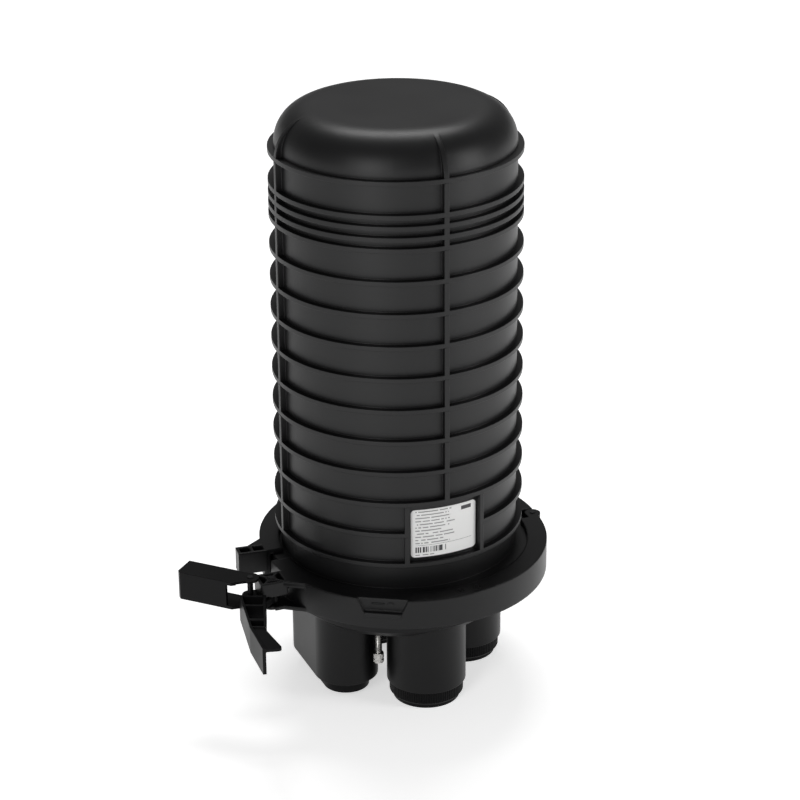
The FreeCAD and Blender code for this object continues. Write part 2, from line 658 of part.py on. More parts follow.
def latch_strap(overhang):
    """Plate outline from the lever pin to the ring, running out along the ring's front."""
    back = "-pivot_y + block_depth / 2"
    front = "-pivot_y - block_depth / 2"
    return [(f"-pivot_x - {overhang}", back), ("-lip_radius - lip_thick", back), ("-lip_radius", "-pivot_y"),
            ("-clamp_radius + strap_inset", "-pivot_y - strap_run"), ("-clamp_radius - block_wall", front),
            (f"-pivot_x - {overhang}", front)]


# Pins
def make_hinge_pin():
    pin = cylinder("hinge_pin_radius", f"{CLAMP_HEIGHT} + 2 * pin_proud", HINGE_X, HINGE_Y,
                   f"{CLAMP_LOW} - pin_proud")
    return node(pin, "hinge_pin")


PIVOT_X = f"({FRONT_X} - pivot_x * cos({FRONT_TURN}) + pivot_y * sin({FRONT_TURN}))"
PIVOT_Y = f"({FRONT_Y} - pivot_x * sin({FRONT_TURN}) - pivot_y * cos({FRONT_TURN}))"
LEVER_TURN = f"({FRONT_TURN} + lever_heading)"
LINK_TURN = f"({FRONT_TURN} + link_heading)"
LINK_X = f"({PIVOT_X} + link_pin_x * cos({LEVER_TURN}) + link_pin_y * sin({LEVER_TURN}))"
LINK_Y = f"({PIVOT_Y} + link_pin_x * sin({LEVER_TURN}) - link_pin_y * cos({LEVER_TURN}))"


def make_latch_pins():
    lever_pin = cylinder("latch_pin_radius", f"{CLAMP_HEIGHT} + 2 * pin_proud", PIVOT_X, PIVOT_Y,
                         f"{CLAMP_LOW} - pin_proud")
    link_pin = cylinder("latch_pin_radius", "link_height + 2 * pin_proud", LINK_X, LINK_Y,
                        "link_low - pin_proud")
    return node(lever_pin, "lever_pin"), node(link_pin, "link_pin")


# Lever: two walls tied by webs, a curved outer wall that runs on to the tip, a hub and a thumb tab
def make_lever():
    outer_root = ("lever_root", "-lever_root_width")
    outer_mid = ("lever_box", "-lever_mid_width")
    tip = ("lever_length", "lever_wall / 2")
    inner_end = ("lever_box", "lever_wall / 2")
    outline = [outer_root, ("lever_web", "-lever_root_width * 4 / 5 - lever_wall / 2"), outer_mid, tip,
               ("lever_length - lever_wall / 2", "2 * lever_wall"),
               ("lever_box + lever_wall / 2", "-lever_mid_width + lever_wall * 3 / 2"),
               ("lever_box", "-lever_mid_width + lever_wall * 3 / 2"),
               inner_end, ("lever_root", "-lever_inner")]
    near = [("lever_root + lever_wall", "-lever_root_width + lever_wall * 3 / 2"),
            ("lever_web - lever_wall / 2", "-lever_root_width * 4 / 5 + lever_wall / 2"),
            ("lever_web - lever_wall / 2", "-lever_inner - lever_wall"),
            ("lever_root + lever_wall", "-lever_inner - lever_wall")]
    outer_near = ("lever_web + lever_wall / 2", "-lever_root_width * 4 / 5 + lever_wall * 3 / 4")
    outer_far = ("lever_box - lever_wall", "-lever_mid_width + lever_wall")
    inner_near = ("lever_web + lever_wall / 2", "-lever_inner - lever_wall / 2")
    inner_far = ("lever_box - lever_wall", "-lever_wall / 2")
    middle = [outer_near, between(outer_near, outer_far, 0.63), between(inner_near, inner_far, 0.63), inner_near]
    far = [between(outer_near, outer_far, 0.72), outer_far, inner_far, between(inner_near, inner_far, 0.72)]
    walls = slab("lever_walls", "lever_height", outline, near, middle, far)
    place(walls, z="lever_low")
    tab = slab("thumb_tab", "tab_thick", [inner_far, ("lever_box - lever_wall", "-lever_mid_width + lever_wall"),
                                          ("lever_length - lever_wall / 2", "lever_wall"),
                                          ("tab_end", "tab_reach"), ("tab_start", "tab_reach / 3")])
    free_end = size("tab_end")
    round_edges(tab, "tab_corner", lambda edge: abs(edge.CenterOfMass.x - free_end) < 0.01
                and edge.BoundBox.ZLength > 1)
    place(tab, z="lever_low + lever_height - tab_thick - tab_drop")
    root = "lever_root + lever_wall / 2"
    web = slab("hub_web", "hub_height", [("0", "hub_radius"), (root, "-lever_inner"),
                                         (root, "-lever_root_width + lever_wall / 2"),
                                         ("link_pin_x", "-link_pin_y - hub_radius"),
                                         ("-hub_radius / 2", "-link_pin_y"), ("-hub_radius", "0")])
    place(web, z="hub_low")
    hub = cylinder("hub_radius", "hub_height", z="hub_low")
    far_hub = cylinder("hub_radius", "hub_height", "link_pin_x", "-link_pin_y", "hub_low")
    pin_hole = cylinder("latch_pin_radius + pin_play", "2 * hub_height", z="hub_low - hub_height / 2")
    far_hole = cylinder("latch_pin_radius", "2 * hub_height", "link_pin_x", "-link_pin_y",
                        "hub_low - hub_height / 2")
    lever = cut(fuse(walls, tab, web, hub, far_hub), pin_hole, far_hole)
    return node(place(lever, PIVOT_X, PIVOT_Y, "0", LEVER_TURN), "latch_lever")


def between(first, last, share):
    """A corner part of the way from one corner to another."""
    return tuple(f"({a}) + {share} * (({b}) - ({a}))" for a, b in zip(first, last))


# Link: a channel closed at its far end, with a window in its outer wall
def make_link():
    outline = [("0", "-link_lobe"), ("link_shoulder", "-link_near"), ("link_reach + link_wall", "-link_near"),
               ("link_reach + link_wall", "link_far - link_wall"), ("link_reach", "link_far"),
               ("link_shoulder", "link_far"), ("0", "link_lobe")]
    plates = fuse(slab("link_shape", "link_height", outline), cylinder("link_lobe", "link_height"))
    inside = box("link_reach + 2 * link_lobe", "link_far + 2 * link_near", "link_height - 2 * link_plate",
                 "-2 * link_lobe", "-3 * link_near + (link_near - link_wall)", "link_plate")
    window = box("window_length", "2 * link_far", "link_height - 2 * link_plate - 2 * window_rim",
                 "window_start", "0", "link_plate + window_rim")
    hole = cylinder("latch_pin_radius + pin_play", "link_height")
    link = cut(plates, inside, window, hole)
    return node(place(link, LINK_X, LINK_Y, "link_low", LINK_TURN), "latch_link")


# Round ports: nut, seal and blanking plug in each
def make_round_port(name, heading):
    x = f"port_circle * cos({heading})"
    y = f"port_circle * sin({heading})"
    low = "(-port_drop - nut_gap - nut_rim)"
    rim = fuse(cone("nut_radius - nut_chamfer", "nut_radius", "nut_chamfer", x, y, low),
               cylinder("nut_radius", "nut_rim - nut_chamfer", x, y, f"{low} + nut_chamfer"))
    spigot = cylinder("port_bore - pin_play", "nut_rim + nut_gap + nut_spigot", x, y, low)
    way = cylinder("nut_bore", "nut_rim + nut_gap + nut_spigot", x, y, low)
    flutes = fluted(x, y, f"{low} + nut_chamfer")
    nut = node(cut(fuse(cut(rim, flutes), spigot), way), f"port_nut_{name}")
    seal_low = "(-port_drop + nut_spigot + nut_gap)"
    seal_height = f"(-throat_drop - {seal_low})"
    seal = cut(cylinder("port_bore - seat_play", seal_height, x, y, seal_low),
               cylinder("plug_radius + seat_play", seal_height, x, y, seal_low))
    node(seal, f"port_seal_{name}")
    plug = fuse(cylinder("plug_radius", f"{seal_height} + plug_head_thick", x, y, seal_low),
                cylinder("plug_head", "plug_head_thick", x, y, "-throat_drop"))
    node(plug, f"port_plug_{name}")
    return nut


def fluted(x, y, low):
    """Half-round flutes down the nut's rim, as one feature set round its axis."""
    count = int(size("knurl_count"))
    first = cylinder("knurl_radius", "nut_rim - nut_chamfer")
    flutes = document.addObject("Part::Feature", "flutes")
    document.recompute()
    shapes = []
    for i in range(count):
        angle = math.tau * i / count
        centre = size("nut_radius") * Vector(math.cos(angle), math.sin(angle), 0)
        shape = first.Shape.copy()
        shape.Placement = FreeCAD.Placement(centre, FreeCAD.Rotation())
        shapes.append(shape)
    flutes.Shape = Part.makeCompound(shapes)
    return place(flutes, x, y, low)


# Oval port: tapered cap, rubber seal, inner pressure plate, centre bolt and two plugs
def make_oval_port():
    low = "(-port_drop - nut_gap)"
    ends = []
    for side in (-1, 1):
        y = f"{side} * oval_half"
        ends.append(cone("cap_radius", "oval_bore + nut_gap", "cap_taper", "-port_circle", y,
                         f"{low} - cap_taper"))
    rim_low = f"({low} - cap_taper - cap_rim)"
    wedge = new_body("cap_wedge")
    profile = [("-cap_radius", "0"), ("cap_radius", "0"), ("oval_bore + nut_gap", "cap_taper"),
               ("-oval_bore - nut_gap", "cap_taper")]
    raised = pad(wedge, draw(wedge, "XZ_Plane", profile), "2 * oval_half")
    raised.Midplane = True
    place(wedge, "-port_circle", "0", f"{low} - cap_taper")
    rim = oval("cap_radius", "cap_rim", rim_low)
    spigot = oval("oval_bore - seat_play", "cap_spigot + nut_gap", low)
    holes = [cylinder("loop_hole", "port_drop", "-port_circle", f"{side} * oval_half", rim_low)
             for side in (-1, 1)]
    holes.append(cylinder("bolt_radius + seat_play", "port_drop", "-port_circle", "0", rim_low))
    holes.append(cylinder("bolt_head + seat_play", "bolt_head_thick", "-port_circle", "0", rim_low))
    node(cut(fuse(rim, wedge, *ends, spigot), *holes), "oval_port_cap")
    seal_low = "(-port_drop + cap_spigot + nut_gap)"
    seal_high = "(-throat_drop - oval_plate)"
    height = f"({seal_high} - {seal_low})"
    bores = [cylinder("oval_plug_radius", height, "-port_circle", f"{side} * oval_half", seal_low)
             for side in (-1, 1)]
    bores.append(cylinder("bolt_radius + seat_play", height, "-port_circle", "0", seal_low))
    node(cut(oval("oval_bore - seat_play", height, seal_low), *bores), "oval_port_seal")
    plate_holes = [cylinder("bolt_radius + seat_play", "oval_plate", "-port_circle", "0", seal_high)]
    plate = oval("oval_bore - seat_play", "oval_plate", seal_high)
    node(cut(plate, *plate_holes), "oval_pressure_plate")
    plugs = [cylinder("oval_plug_radius", f"{height} - seat_play", "-port_circle", f"{side} * oval_half",
                      seal_low) for side in (-1, 1)]
    node(group(*plugs), "oval_port_plugs")
    shank_length = f"-throat_drop + bolt_head_thick + 1 - {rim_low}"
    shank = cylinder("bolt_radius", shank_length, "-port_circle", "0", rim_low)
    head = prism(6, "bolt_head", "bolt_head_thick", "-port_circle", "0", rim_low)
    node(fuse(shank, head), "oval_bolt")
    bolt_nut = cut(prism(6, "bolt_head", "bolt_head_thick", "-port_circle", "0", "-throat_drop"),
                   cylinder("bolt_radius", "bolt_head_thick", "-port_circle", "0", "-throat_drop"))
    node(bolt_nut, "oval_bolt_nut")


# Valve: metal stem with its collar let into the base's underside, nut inside on a boss, round cap
def make_valve():
    nut_low = "(base_floor + valve_boss)"
    length = f"valve_drop + {nut_low} + 3 / 2 * valve_collar_thick"
    stem = fuse(cylinder("valve_radius", length, VALVE_X, VALVE_Y, "-valve_drop"),
                prism(6, "valve_collar", "valve_collar_thick", VALVE_X, VALVE_Y, "0"))
    bore = cylinder("valve_bore", "2 * valve_drop", VALVE_X, VALVE_Y, "-valve_drop")
    node(cut(stem, bore), "valve_stem")
    nut = cut(prism(6, "valve_collar", "valve_collar_thick", VALVE_X, VALVE_Y, nut_low),
              cylinder("valve_radius", "valve_collar_thick", VALVE_X, VALVE_Y, nut_low))
    node(nut, "valve_nut")
    cap_low = "(-valve_drop - cap_floor)"
    hollow = cylinder("valve_radius + pin_play", "valve_cap_height", VALVE_X, VALVE_Y,
                      f"{cap_low} + cap_floor - pin_play")
    cap = cut(cylinder("valve_cap_radius", "valve_cap_height", VALVE_X, VALVE_Y, cap_low), hollow)
    return node(cap, "valve_cap")


# Organizer frame: a bent steel sheet with a foot and a back plate
FOOT_LOW = "(base_floor + pillar_height)"
BACK_Y = "(foot_size / 2 - sheet)"


def make_frame():
    foot = box("foot_size", "foot_size", "sheet", "-foot_size / 2", "-foot_size / 2", FOOT_LOW)
    stem = box("foot_size", "sheet", f"back_low - {FOOT_LOW} + sheet", "-foot_size / 2", BACK_Y, FOOT_LOW)
    back = box("back_width", "sheet", "back_top - back_low", "-back_width / 2", BACK_Y, "back_low")
    holes = [cylinder("screw_radius + seat_play", "2 * sheet", x, y, FOOT_LOW)
             for x, y in corners("pillar_offset")]
    holes.append(across("Part::Cylinder", "earth_radius", "sheet", BACK_Y))
    frame = cut(fuse(foot, stem, back), *holes)
    node(frame, "organizer_frame")
    screws = []
    for x, y in corners("pillar_offset"):
        screws.append(fuse(cylinder("screw_radius", "screw_length", x, y, f"{FOOT_LOW} + sheet - screw_length"),
                           cylinder("screw_head", "screw_head_thick", x, y, f"{FOOT_LOW} + sheet")))
    node(group(*screws), "frame_screws")


# Tray ladder, trays, pins, combs and cover
def tray_y(index):
    """Front face of a tray, counted from the back plate."""
    return f"({BACK_Y} - {index + 1} * tray_pitch)"


def make_ladder():
    depth = f"({TRAYS} * tray_pitch + sheet)"
    front = f"({BACK_Y} - {depth})"
    floor = box("ladder_width", depth, "ladder_floor", "-ladder_width / 2", front, "ladder_low")
    cheeks = [box("ladder_cheek", depth, "ladder_height", x, front, "ladder_low")
              for x in ("-ladder_width / 2", "ladder_width / 2 - ladder_cheek")]
    ladder = fuse(floor, *cheeks)
    holes = [tray_rod("ladder_width", i, "tray_pin_radius") for i in range(TRAYS)]
    return node(cut(ladder, *holes), "tray_ladder")


def tray_rod(length, index, radius):
    """A rod across the ladder at a tray's hinge."""
    rod = document.addObject("Part::Cylinder", "rod")
    bind(rod, Radius=radius, Height=length)
    rod.Placement = FreeCAD.Placement(Vector(), FreeCAD.Rotation(Vector(0, 1, 0), 90))
    rod.setExpression("Placement.Base.x", formula(f"-({length}) / 2"))
    rod.setExpression("Placement.Base.y", formula(f"{tray_y(index)} + tray_thick / 2"))
    rod.setExpression("Placement.Base.z", formula("tray_pin_rise"))
    return rod


def make_tray(index):
    body = new_body(f"tray_{index + 1}")
    half = "tray_width / 2"
    pad(body, draw(body, "XY_Plane", rectangle(f"-{half}", half, "0", "tray_top - tray_low")), "tray_thick")
    sketch = draw(body, "XY_Plane", rectangle(f"-{half} + tray_wall", f"{half} - tray_wall", "tray_wall",
                                              "tray_top - tray_low - tray_wall"))
    sketch.setExpression("AttachmentOffset.Base.z", formula("tray_wall"))
    well = body.newObject("PartDesign::Pocket", "well")
    well.Profile = sketch
    well.Reversed = True
    well.setExpression("Length", formula("tray_thick"))
    wall = size("tray_width") / 2 - size("tray_wall")
    depth = size("tray_thick")
    round_edges(body, "tray_corner - tray_wall", lambda edge: is_upright(edge, wall, depth / 2))
    round_edges(body, "tray_corner", lambda edge: is_upright(edge, size("tray_width") / 2, depth - 0.01))
    hubs = []
    for side in (-1, 1):
        centre = f"(tray_top - tray_low) / 2 + {side} * hub_rise"
        hubs.append(cut(cylinder("hub_mid", "tray_thick - cover_thick", "0", centre),
                        cylinder("hub_mid - tray_wall", "tray_thick", "0", centre, "tray_wall")))
    tongue_x = "(ladder_width / 2 - ladder_cheek - tray_play - tray_neck / 2)"
    tongue_low = "tray_pin_rise - tray_thick / 2 - tray_low"
    tongues = [box("tray_neck", f"tray_wall - ({tongue_low})", "tray_thick",
                   f"{side} * {tongue_x} - tray_neck / 2", tongue_low, "0") for side in (-1, 1)]
    rod = document.addObject("Part::Cylinder", "rod")
    bind(rod, Radius="tray_pin_radius + pin_play", Height="tray_width")
    rod.Placement = FreeCAD.Placement(Vector(), FreeCAD.Rotation(Vector(0, 1, 0), 90))
    rod.setExpression("Placement.Base.x", formula(f"-{half}"))
    rod.setExpression("Placement.Base.y", formula("tray_pin_rise - tray_low"))
    rod.setExpression("Placement.Base.z", formula("tray_thick / 2"))
    tray = cut(fuse(body, *hubs, *tongues), rod)
    return node(stand_tray(tray, index), f"splice_tray_{index + 1}")


def stand_tray(thing, index):
    """Stands a piece drawn flat on edge, its floor to the back and its mouth to the front."""
    thing.Placement = FreeCAD.Placement(Vector(), FreeCAD.Rotation(Vector(1, 0, 0), 90))
    thing.setExpression("Placement.Base.y", formula(f"{tray_y(index)} + tray_thick"))
    thing.setExpression("Placement.Base.z", formula("tray_low"))
    return thing


def make_comb(index):
    """A rubber comb seated between the tray's hubs."""
    middle = "(tray_top - tray_low) / 2"
    comb = box("comb_width", "comb_length", "comb_height", "-comb_width / 2", f"{middle} - comb_length / 2",
               "tray_wall")
    count = 6
    slots = [box("comb_slot", "comb_length + 2", "comb_height",
                 f"-comb_width / 2 + ({i} + 1) * comb_width / {count + 1} - comb_slot / 2",
                 f"{middle} - comb_length / 2 - 1", "tray_wall + comb_slot / 2") for i in range(count)]
    return stand_tray(cut(comb, *slots), index)


def make_trays():
    make_ladder()
    for index in range(TRAYS):
        make_tray(index)
    pins = [tray_rod("ladder_width + 2 * pin_proud", i, "tray_pin_radius") for i in range(TRAYS)]
    node(group(*pins), "tray_pins")
    node(group(*[make_comb(i) for i in range(TRAYS)]), "splice_combs")
    body = new_body("cover_plate")
    half = "tray_width / 2"
    pad(body, draw(body, "XY_Plane", rectangle(f"-{half}", half, "0", "tray_top - tray_low")), "cover_thick")
    round_edges(body, "tray_corner", lambda edge: abs(edge.CenterOfMass.z - size("cover_thick") / 2) < 0.01)
    body.Placement = FreeCAD.Placement(Vector(), FreeCAD.Rotation(Vector(1, 0, 0), 90))
    body.setExpression("Placement.Base.y", formula(tray_y(TRAYS - 1)))
    body.setExpression("Placement.Base.z", formula("tray_low"))
    node(body, "tray_cover")


# Loop basket behind the back plate, for spare fibre
def make_basket():
    y = "(foot_size / 2)"
    height = "(basket_top - basket_low)"
    outer = box("basket_width", "basket_depth", height, "-basket_width / 2", y, "basket_low")
    inner = box("basket_width - 2 * tray_wall", "basket_depth - 2 * tray_wall", f"{height} - 2 * tray_wall",
                "-basket_width / 2 + tray_wall", f"{y} + tray_wall", "basket_low + tray_wall")
    mouth = box("basket_width - basket_depth", "basket_depth", f"{height} - basket_depth",
                "-basket_width / 2 + basket_depth / 2", f"{y} + tray_wall", "basket_low + basket_depth / 2")
    return node(cut(outer, inner, mouth), "loop_basket")


# Strength member clamps on the frame's foot, each with a screw
def make_clamps():
    blocks = []
    screws = []
    top = f"({FOOT_LOW} + sheet)"
    for x, y in (("-pillar_offset", "0"), ("pillar_offset", "0"), ("0", "-pillar_offset")):
        block = box("clamp_block", "clamp_block", "clamp_block", f"{x} - clamp_block / 2",
                    f"{y} - clamp_block / 2", top)
        blocks.append(cut(block, cylinder("screw_radius", "2 * clamp_block", x, y, top)))
        screws.append(fuse(cylinder("screw_radius", "clamp_block", x, y, top),
                           cylinder("screw_head", "screw_head_thick", x, y, f"{top} + clamp_block")))
    node(group(*blocks), "strength_clamps")
    node(group(*screws), "clamp_screws")


# Earth stud through the frame's stem, with two nuts
def across(kind, radius, length, start):
    """A round or six-sided piece lying along Y at the earth stud's height."""
    thing = document.addObject(kind, "stud")
    if kind == "Part::Prism":
        thing.Polygon = 6
        bind(thing, Circumradius=radius, Height=length)
    else:
        bind(thing, Radius=radius, Height=length)
    thing.Placement = FreeCAD.Placement(Vector(), FreeCAD.Rotation(Vector(1, 0, 0), -90))
    thing.setExpression("Placement.Base.y", formula(start))
    thing.setExpression("Placement.Base.z", formula("earth_rise"))
    return thing


def make_earth():
    stud = across("Part::Cylinder", "earth_radius", "earth_length", f"{BACK_Y} - earth_length / 2")
    node(stud, "earth_stud")
    nuts = []
    for start in (f"{BACK_Y} - earth_radius", f"{BACK_Y} + sheet"):
        nuts.append(cut(across("Part::Prism", "earth_nut", "earth_radius", start),
                        across("Part::Cylinder", "earth_radius", "earth_radius", start)))
    node(group(*nuts), "earth_nuts")


make_base()
make_seal()
make_dome()
make_label()
make_rear_half()
make_front_half()
make_hinge_pin()
make_latch_pins()
make_lever()
make_link()
for port_name, port_heading in PORTS:
    make_round_port(port_name, port_heading)
make_oval_port()
make_valve()
make_frame()
make_trays()
make_basket()
make_clamps()
make_earth()

document.recompute()
for thing in document.Objects:
    for fault in ("Invalid", "Error"):
        if fault in thing.State:
            owners = [owner.Name for owner in thing.InListRecursive]
            raise RuntimeError(f"{thing.Name} ({thing.Label}) is {thing.State}, used by {owners}")
for thing in nodes:
    if thing.Shape.isNull() or not thing.Shape.isValid():
        raise RuntimeError(f"{thing.Label} has no valid shape")
os.makedirs("parts", exist_ok=True)
for thing in nodes:
    thing.Shape.exportStep(f"parts/{thing.Label}.step")
    print(thing.Label, len(thing.Shape.Solids), round(thing.Shape.Volume, 1))
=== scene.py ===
import math

import bmesh
import bpy
from mathutils import Matrix, Vector


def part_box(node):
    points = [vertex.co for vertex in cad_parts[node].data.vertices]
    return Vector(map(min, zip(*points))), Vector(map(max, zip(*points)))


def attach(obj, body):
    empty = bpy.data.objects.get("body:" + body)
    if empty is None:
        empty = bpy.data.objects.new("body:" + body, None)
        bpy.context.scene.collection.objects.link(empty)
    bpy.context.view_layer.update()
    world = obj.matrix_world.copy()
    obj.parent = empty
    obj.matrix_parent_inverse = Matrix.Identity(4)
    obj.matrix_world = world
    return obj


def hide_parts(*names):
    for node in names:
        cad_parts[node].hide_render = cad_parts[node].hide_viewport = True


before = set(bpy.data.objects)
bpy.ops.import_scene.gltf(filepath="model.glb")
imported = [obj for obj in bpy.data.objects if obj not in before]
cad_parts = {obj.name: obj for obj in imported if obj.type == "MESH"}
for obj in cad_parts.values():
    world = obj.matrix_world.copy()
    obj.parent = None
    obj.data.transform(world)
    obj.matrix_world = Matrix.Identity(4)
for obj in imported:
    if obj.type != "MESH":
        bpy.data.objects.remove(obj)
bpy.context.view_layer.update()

# Dome cover
# One injection moulding in black polypropylene: a drafted wall, ring ribs, four upright ribs and a
# flat crown. It stands on the base flange and the clamp ring pulls it down on the seal.
MM = 0.001


def wear(nodes, links, seed):
    """Slow patches over the surface, from nought to one, and the coordinates they lie in."""
    place = nodes.new("ShaderNodeTexCoord")
    patches = nodes.new("ShaderNodeTexNoise")
    patches.noise_dimensions = "4D"
    patches.inputs["W"].default_value = seed
    patches.inputs["Scale"].default_value = 14.0
    patches.inputs["Detail"].default_value = 3.0
    links.new(place.outputs["Object"], patches.inputs["Vector"])
    return place, patches


def spread(nodes, links, source, low, high):
    """Turns a value round one half into one between low and high."""
    span = nodes.new("ShaderNodeMapRange")
    span.inputs["From Min"].default_value = 0.3
    span.inputs["From Max"].default_value = 0.7
    span.inputs["To Min"].default_value = low
    span.inputs["To Max"].default_value = high
    links.new(source, span.inputs["Value"])
    return span.outputs["Result"]


def tint(nodes, links, source, dark, light):
    """Blends two near colours by a value."""
    blend = nodes.new("ShaderNodeMix")
    blend.data_type = "RGBA"
    blend.inputs["A"].default_value = (*dark, 1.0)
    blend.inputs["B"].default_value = (*light, 1.0)
    links.new(source, blend.inputs["Factor"])
    return blend.outputs["Result"]


def moulded(name, dark, light, dull, grain, depth, seed, edge, sheen=0.36):
    """Moulded plastic: two near tints, an uneven gloss, a fine grain and edges rounded in the shading."""
    plastic = bpy.data.materials.new(name)
    plastic.use_nodes = True
    nodes, links = plastic.node_tree.nodes, plastic.node_tree.links
    surface = nodes["Principled BSDF"]
    surface.inputs["Specular IOR Level"].default_value = sheen
    place, patches = wear(nodes, links, seed)
    links.new(tint(nodes, links, patches.outputs["Fac"], dark, light), surface.inputs["Base Color"])
    links.new(spread(nodes, links, patches.outputs["Fac"], *dull), surface.inputs["Roughness"])
    pits = nodes.new("ShaderNodeTexNoise")
    pits.inputs["Scale"].default_value = grain
    pits.inputs["Detail"].default_value = 2.0
    links.new(place.outputs["Object"], pits.inputs["Vector"])
    relief = nodes.new("ShaderNodeBump")
    relief.inputs["Strength"].default_value = 0.5
    relief.inputs["Distance"].default_value = depth
    links.new(pits.outputs["Fac"], relief.inputs["Height"])
    if edge:
        rounding = nodes.new("ShaderNodeBevel")
        rounding.samples = 6
        rounding.inputs["Radius"].default_value = edge * MM
        links.new(rounding.outputs["Normal"], relief.inputs["Normal"])
    links.new(relief.outputs["Normal"], surface.inputs["Normal"])
    return plastic


def dress(material, *names):
    """Puts a material on carried-over solids."""
    for name in names:
        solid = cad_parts[name]
        solid.data.materials.clear()
        solid.data.materials.append(material)


dome_black = moulded("dome_black", dark=(0.0040, 0.0040, 0.0043), light=(0.0062, 0.0062, 0.0066),
                     dull=(0.38, 0.47), grain=2600.0, depth=0.00002, seed=1.0, edge=0.7)
dress(dome_black, "dome_cover")

# Type label
# A white polyester film stuck to the dome's lowest bay, between two upright ribs and a little short of
# the ring ribs. It is printed with rows of grey bars, a rule and a block of stripes, and no words.
# Its sizes are in millimetres, across from the film's middle and up from the closure's origin.
label_radius = 83.2
film_low, film_high = 65.7, 101.2
film_white = (0.94, 0.94, 0.93)
print_ink = (0.035, 0.035, 0.038)
print_left = -21.0
text_band, row_pitch, bar_band = (74.9, 100.7), 2.35, (0.33, 0.67)
shortest_row, row_spread = -3.0, 11.0
word_width, word_gaps, word_ink = 1.0, 0.16, 0.7
foot_band, foot_right = (66.9, 67.6), -8.0
block_band, block_right = (69.0, 73.2), 0.5
stripe_width, stripe_gaps = 0.5, 0.38
rule_band, rule_right = (74.3, 74.5), 20.5
heavy_band, heavy_span = (96.4, 99.2), (12.0, 20.0)


def label_print():
    """White film with rows of short bars, one heavy bar and a striped block."""
    printed = bpy.data.materials.new("label_film")
    printed.use_nodes = True
    nodes, links = printed.node_tree.nodes, printed.node_tree.links
    surface = nodes["Principled BSDF"]
    surface.inputs["Roughness"].default_value = 0.38

    def calc(operation, first, second=None, third=None):
        """One step of arithmetic on numbers or sockets."""
        step = nodes.new("ShaderNodeMath")
        step.operation = operation
        for socket, value in zip(step.inputs, (first, second, third)):
            if value is None:
                continue
            if isinstance(value, (int, float)):
                socket.default_value = value
            else:
                links.new(value, socket)
        return step.outputs[0]

    def within(value, low, high):
        """One between two bounds and nought outside them."""
        return calc("MULTIPLY", calc("GREATER_THAN", value, low), calc("LESS_THAN", value, high))

    def chance(dimensions, socket, value):
        """A number between nought and one that is fixed for each value."""
        draw = nodes.new("ShaderNodeTexWhiteNoise")
        draw.noise_dimensions = dimensions
        links.new(value, draw.inputs[socket])
        return draw.outputs["Value"]

    place = nodes.new("ShaderNodeTexCoord")
    split = nodes.new("ShaderNodeSeparateXYZ")
    links.new(place.outputs["Object"], split.inputs[0])
    turn = calc("ARCTAN2", split.outputs[0], calc("MULTIPLY", split.outputs[1], -1.0))
    across = calc("MULTIPLY", turn, label_radius)
    up = calc("MULTIPLY", split.outputs[2], 1.0 / MM)

    # Rows of words, each a bar of its own length with gaps, and a short row at the foot.
    rows = calc("DIVIDE", calc("SUBTRACT", up, text_band[0]), row_pitch)
    row = calc("FLOOR", rows)
    row_end = calc("MULTIPLY_ADD", chance("1D", "W", row), row_spread, shortest_row)
    words = calc("MULTIPLY", within(calc("FRACT", rows), *bar_band), within(across, print_left, row_end))
    words = calc("MULTIPLY", words, within(up, *text_band))
    foot = calc("MULTIPLY", within(up, *foot_band), within(across, print_left, foot_right))
    cell = nodes.new("ShaderNodeCombineXYZ")
    links.new(calc("FLOOR", calc("DIVIDE", across, word_width)), cell.inputs[0])
    links.new(row, cell.inputs[1])
    spaced = calc("GREATER_THAN", chance("2D", "Vector", cell.outputs[0]), word_gaps)
    words = calc("MULTIPLY", calc("MAXIMUM", words, foot), spaced)

    # A block of stripes, the rule over it and one heavy bar at the top right.
    stripe = calc("FLOOR", calc("DIVIDE", across, stripe_width))
    block = calc("MULTIPLY", within(across, print_left, block_right), within(up, *block_band))
    block = calc("MULTIPLY", block, calc("GREATER_THAN", chance("1D", "W", stripe), stripe_gaps))
    rule = calc("MULTIPLY", within(across, print_left, rule_right), within(up, *rule_band))
    heavy = calc("MULTIPLY", within(across, *heavy_span), within(up, *heavy_band))
    marks = calc("MAXIMUM", calc("MAXIMUM", block, rule), heavy)
    ink = calc("MAXIMUM", calc("MULTIPLY", words, word_ink), marks)
    links.new(tint(nodes, links, ink, film_white, print_ink), surface.inputs["Base Color"])

    fibre = nodes.new("ShaderNodeTexNoise")
    fibre.inputs["Scale"].default_value = 900.0
    links.new(place.outputs["Object"], fibre.inputs["Vector"])
    relief = nodes.new("ShaderNodeBump")
    relief.inputs["Distance"].default_value = 0.00001
    relief.inputs["Strength"].default_value = 0.4
    links.new(fibre.outputs["Fac"], relief.inputs["Height"])
    links.new(relief.outputs["Normal"], surface.inputs["Normal"])
    return printed


film_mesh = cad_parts["dome_label"].data.copy()
film_mesh.name = "type_label"
plate_low, plate_high = (corner[2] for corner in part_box("dome_label"))
for vert in film_mesh.vertices:
    share = (vert.co.z - plate_low) / (plate_high - plate_low)
    vert.co.z = (film_low + share * (film_high - film_low)) * MM
film_mesh.materials.clear()
film_mesh.materials.append(label_print())
film = bpy.data.objects.new("type_label", film_mesh)
bpy.context.scene.collection.objects.link(film)
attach(film, "closure")
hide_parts("dome_label")

# Base cup and its ports
# The lower moulding, in the same black polypropylene: a floor with a skirt and flange, three round
# ports and one oval port below, and four bosses inside for the frame.
# Its tint is darker and its sheen lower than the dome's, though it is the same plastic: painted shade on
# the low parts by the floor.
base_shaded_black = moulded("base_shaded_black", dark=(0.0034, 0.0034, 0.0037), light=(0.0052, 0.0052, 0.0056),
                     dull=(0.37, 0.46), grain=2200.0, depth=0.00002, seed=2.0, edge=0.8, sheen=0.20)
dress(base_shaded_black, "base_body")

